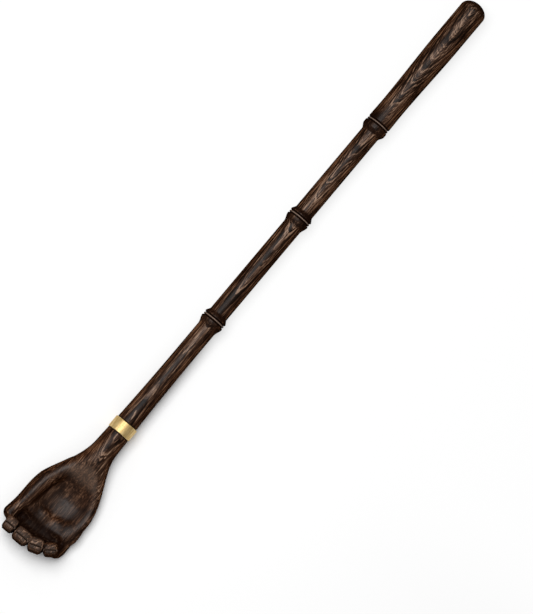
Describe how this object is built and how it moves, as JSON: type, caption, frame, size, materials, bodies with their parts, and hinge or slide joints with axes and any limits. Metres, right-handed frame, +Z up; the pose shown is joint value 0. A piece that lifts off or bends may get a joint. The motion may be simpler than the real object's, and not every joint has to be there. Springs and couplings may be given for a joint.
{
  "type": "back scratcher",
  "caption": "Wooden back scratcher: a carved hand with curled fingers on a turned bamboo-style shaft, joined under a brass ferrule.",
  "frame": {"origin": "centre of the footprint on the surface that it lies on, palm up", "axes": "+X along the shaft towards the butt of the handle, +Y to the thumb side, +Z up out of the palm"},
  "size_m": [0.4995, 0.0531, 0.0257],
  "materials": {
    "dark_wood": "oiled and rubbed to a satin sheen",
    "brass": "polished",
    "beech": "raw, fluted"
  },
  "bodies": {
    "root": {"turned_shaft": "dark_wood", "carved_hand": "dark_wood", "brass_ferrule": "brass", "joint_dowel": "beech"}
  },
  "joints": []
}
